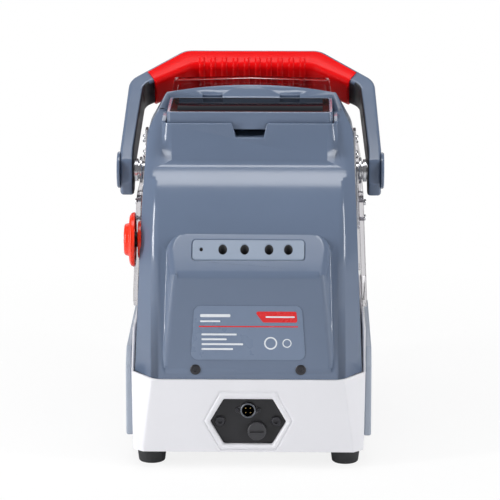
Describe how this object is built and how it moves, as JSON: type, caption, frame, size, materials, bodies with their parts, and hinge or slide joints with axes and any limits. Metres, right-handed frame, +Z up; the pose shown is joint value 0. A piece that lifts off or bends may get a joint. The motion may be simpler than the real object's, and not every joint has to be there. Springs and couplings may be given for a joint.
{
  "type": "key cutting machine",
  "caption": "Portable benchtop key cutting machine with leaning rear case, clear lifting cover, carrying handle, tilting screen, emergency stop and moving cutting stage.",
  "frame": {"origin": "centre of the machine on the surface that its feet stand on", "axes": "+Z up, +Y out of the machine's rear, +X towards the side with the emergency stop"},
  "size_m": [0.2196, 0.25, 0.3054],
  "materials": {
    "grey_case": "fine texture",
    "white_case": "satin",
    "rack": "fine texture",
    "red_grip": "soft",
    "red_button": "gloss",
    "black_rubber": "matt",
    "black_plastic": "fine texture",
    "plate_film": "satin film",
    "black_screws": "blackened",
    "bright_metal": "polished",
    "steel": "ground",
    "aluminium": "bead blasted",
    "motor_black": "satin",
    "clear_acrylic": "clear",
    "dark_glass": "gloss black",
    "lamp_lens": "frosted",
    "board": "satin",
    "module_case": "satin"
  },
  "bodies": {
    "case": {"base_shell": "white_case", "base_plate": "aluminium", "side_panels": "grey_case", "feet": "black_rubber", "foot_screws": "steel", "rear_cover": "grey_case", "tool_rack": "rack", "rating_plate": "plate_film", "case_screws": "black_screws", "power_panel": "black_plastic", "power_socket": "bright_metal", "socket_insert": "black_plastic", "fuse_holder": "black_plastic", "estop_collar": "black_plastic", "screen_hinges": "bright_metal", "hinge_brackets": "bright_metal", "pivot_pins": "bright_metal", "column": "aluminium", "machine_bed": "aluminium", "z_guide_rods": "steel", "z_motor": "motor_black", "y_guide_rods": "steel", "y_motor": "motor_black", "main_board": "board", "power_module": "module_case", "work_lamp": "lamp_lens"},
    "cover": {"clear_cover": "clear_acrylic", "cover_grip": "black_plastic", "hinge_arms": "bright_metal", "arm_screws": "bright_metal"},
    "handle": {"handle_frame": "grey_case", "handle_grip": "red_grip", "pivot_caps": "grey_case"},
    "screen": {"screen_frame": "grey_case", "screen_glass": "dark_glass"},
    "estop_stem": {"estop_plunger": "black_plastic"},
    "estop_knob": {"estop_head": "red_button"},
    "fuse": {"fuse_cap": "black_plastic"},
    "drawer": {"chip_drawer": "black_plastic"},
    "z_head": {"z_carriage": "aluminium", "spindle_bearings": "steel", "spindle_motor": "motor_black", "drive_belt": "black_rubber", "probe": "steel"},
    "z_screw": {"z_lead_screw": "steel"},
    "spindle": {"spindle_shaft": "steel", "spindle_pulley": "aluminium", "collet_nut": "steel", "cutter": "steel"},
    "motor_rotor": {"motor_pulley": "aluminium"},
    "y_table": {"y_carriage": "aluminium", "x_guide_rods": "steel", "x_motor": "motor_black"},
    "y_screw": {"y_lead_screw": "steel"},
    "x_table": {"x_carriage": "aluminium", "clamp_base": "steel"},
    "x_screw": {"x_lead_screw": "steel"},
    "jaw": {"clamp_jaw": "steel"},
    "clamp_screw": {"clamp_knob": "black_plastic"}
  },
  "joints": [
    {"name": "cover_lift", "type": "hinge", "parent": "case", "child": "cover", "pos_m": [0, 0.005, 0.2195], "axis": [1, 0, 0], "range_deg": [-80, 0]},
    {"name": "handle_swing", "type": "hinge", "parent": "cover", "child": "handle", "pos_m": [0, 0.005, 0.2195], "axis": [1, 0, 0], "range_deg": [-53, 0]},
    {"name": "screen_tilt", "type": "hinge", "parent": "case", "child": "screen", "pos_m": [0, -0.0214, 0.273], "axis": [1, 0, 0], "range_deg": [0, 35]},
    {"name": "estop_press", "type": "slide", "parent": "case", "child": "estop_stem", "axis": [1, 0, 0], "range_m": [-0.003, 0], "stiffness_N_per_m": 1500, "springref_m": 0.002},
    {"name": "estop_twist", "type": "hinge", "parent": "estop_stem", "child": "estop_knob", "pos_m": [0.095, 0.073, 0.176], "axis": [1, 0, 0], "range_deg": [0, 45], "stiffness_Nm_per_rad": 0.05},
    {"name": "fuse_cap_turn", "type": "hinge", "parent": "case", "child": "fuse", "pos_m": [-0.007, 0.12, 0.0302], "axis": [0, 1, 0], "range_deg": [0, 90]},
    {"name": "drawer_slide", "type": "slide", "parent": "case", "child": "drawer", "axis": [0, -1, 0], "range_m": [0, 0.1]},
    {"name": "z_travel", "type": "slide", "parent": "case", "child": "z_head", "axis": [0, 0, 1], "range_m": [-0.01, 0.01]},
    {"name": "z_screw_turn", "type": "hinge", "parent": "case", "child": "z_screw", "pos_m": [0, 0.047, 0.177], "axis": [0, 0, 1], "range_deg": [-905, 905]},
    {"name": "spindle_spin", "type": "hinge", "parent": "z_head", "child": "spindle", "pos_m": [0, -0.007, 0.177], "axis": [0, 0, 1], "continuous": true},
    {"name": "motor_spin", "type": "hinge", "parent": "z_head", "child": "motor_rotor", "pos_m": [0, 0.024, 0.177], "axis": [0, 0, 1], "continuous": true},
    {"name": "y_travel", "type": "slide", "parent": "case", "child": "y_table", "axis": [0, 1, 0], "range_m": [-0.015, 0.015]},
    {"name": "y_screw_turn", "type": "hinge", "parent": "case", "child": "y_screw", "pos_m": [0, 0, 0.08], "axis": [0, 1, 0], "range_deg": [-1085, 1085]},
    {"name": "x_travel", "type": "slide", "parent": "y_table", "child": "x_table", "axis": [1, 0, 0], "range_m": [-0.02, 0.02]},
    {"name": "x_screw_turn", "type": "hinge", "parent": "y_table", "child": "x_screw", "pos_m": [0, -0.007, 0.097], "axis": [1, 0, 0], "range_deg": [-1805, 1805]},
    {"name": "jaw_travel", "type": "slide", "parent": "x_table", "child": "jaw", "axis": [0, 1, 0], "range_m": [0, 0.006]},
    {"name": "clamp_knob_turn", "type": "hinge", "parent": "x_table", "child": "clamp_screw", "pos_m": [0, -0.03, 0.121], "axis": [0, 1, 0], "range_deg": [-5, 1445]}
  ],
  "couplings": [
    {"joint": "z_screw_turn", "follows": "z_travel", "rad_per_m": 1570.8},
    {"joint": "y_screw_turn", "follows": "y_travel", "rad_per_m": 1256.6},
    {"joint": "x_screw_turn", "follows": "x_travel", "rad_per_m": 1570.8},
    {"joint": "clamp_knob_turn", "follows": "jaw_travel", "rad_per_m": 4188.8},
    {"joint": "motor_spin", "follows": "spindle_spin", "ratio": 1}
  ]
}
